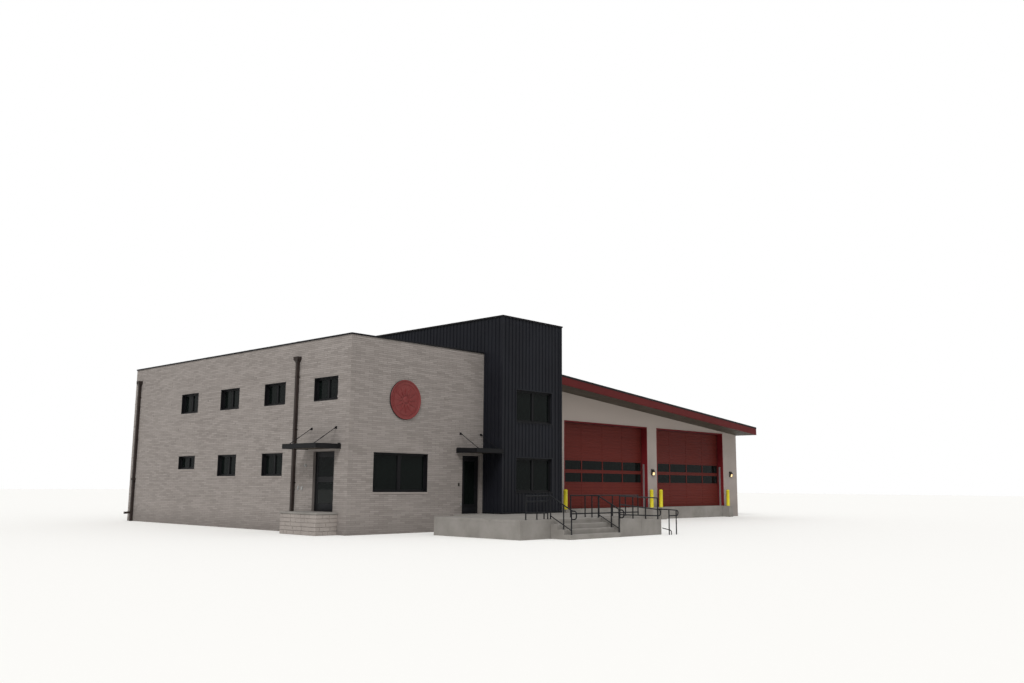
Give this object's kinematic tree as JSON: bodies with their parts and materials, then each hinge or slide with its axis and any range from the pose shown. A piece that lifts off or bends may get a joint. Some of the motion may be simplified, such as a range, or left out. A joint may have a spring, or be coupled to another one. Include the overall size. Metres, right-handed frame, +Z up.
{
  "type": "fire station",
  "caption": "Fire station building: flat-roofed office block, ribbed metal tower, overhead bay doors under a sloping roof, and a raised entrance with steps and a ramp.",
  "frame": {"origin": "on the ground under the middle of the whole building", "axes": "+Z up, +X along the street front towards the bay doors, +Y away from the street"},
  "size_m": [31.48, 23.09, 8.26],
  "materials": {
    "painted_brick": "painted brick, matt",
    "painted_render": "painted render, matt",
    "tower_core": "dark painted sheathing, matt",
    "tower_cladding": "dark coated steel, satin",
    "concrete": "broom-finished concrete",
    "roof_membrane": "pale roofing sheet, matt",
    "bay_roofing": "coated roof sheet, satin",
    "dark_metal": "dark anodised look, satin",
    "door_frame_red": "dark red coated steel, satin",
    "window_glass": "tinted glazing",
    "sill_stone": "cast sill, matt",
    "door_leaf": "dark painted steel, satin",
    "downspout_bronze": "dark bronze coat, satin",
    "emblem_red": "red enamel, gloss",
    "bay_soffit_metal": "olive-brown sheet, satin",
    "fascia_red": "red coated sheet, satin",
    "bay_door_red": "dark red coated steel, satin",
    "pale_steel": "galvanised, brushed",
    "lamp_housing": "dark coat, satin",
    "bollard_yellow": "safety yellow, gloss",
    "rail_steel": "dark painted tube, satin"
  },
  "bodies": {
    "station": {"left_wall": "painted_brick", "left_wall_corner": "painted_brick", "left_wall_over_door": "painted_brick", "front_wall": "painted_brick", "front_wall_over_door": "painted_brick", "front_pier": "painted_brick", "rear_wall": "painted_brick", "bay_pier_left": "painted_render", "bay_pier_right": "painted_render", "bay_lintel_wall": "painted_render", "bay_pier_middle": "painted_render", "bay_right_wall": "painted_render", "tower_front_wall": "tower_core", "tower_left_wall": "tower_core", "tower_right_wall": "tower_core", "tower_front_cladding": "tower_cladding", "tower_left_cladding": "tower_cladding", "tower_right_cladding": "tower_cladding", "ground_floors": "concrete", "upper_floors": "concrete", "bay_sills": "concrete", "landing": "concrete", "entry_steps": "concrete", "ramp": "concrete", "side_stoop": "concrete", "flat_roofs": "roof_membrane", "bay_roof": "bay_roofing", "parapet_copings": "dark_metal", "left_window_frames": "dark_metal", "front_window_frames": "dark_metal", "entry_door_frame": "dark_metal", "side_door_frame": "dark_metal", "side_canopy": "dark_metal", "entry_canopy": "dark_metal", "canopy_rods": "dark_metal", "bay_door_frames": "door_frame_red", "left_window_glass": "window_glass", "front_window_glass": "window_glass", "bay_door_glass": "window_glass", "window_sills": "sill_stone", "downspouts": "downspout_bronze", "wall_emblem": "emblem_red", "bay_soffit": "bay_soffit_metal", "bay_fascia": "fascia_red", "bay_door_left": "bay_door_red", "bay_door_right": "bay_door_red", "jamb_guards": "pale_steel", "wall_lights": "lamp_housing", "bollards": "bollard_yellow", "landing_guard": "rail_steel", "stair_rails": "rail_steel", "ramp_rails": "rail_steel"},
    "entry_leaf": {"entry_door": "door_leaf"},
    "side_leaf": {"side_door": "door_leaf", "side_door_glass": "window_glass"}
  },
  "joints": [
    {"name": "entry_hinge", "type": "hinge", "parent": "station", "child": "entry_leaf", "pos_m": [-9.289, -4.715, 0.62], "axis": [0, 0, -1], "range_deg": [0, 90]},
    {"name": "side_hinge", "type": "hinge", "parent": "station", "child": "side_leaf", "pos_m": [-14.6, -2.868, 0.76], "axis": [0, 0, -1], "range_deg": [0, 90]}
  ]
}
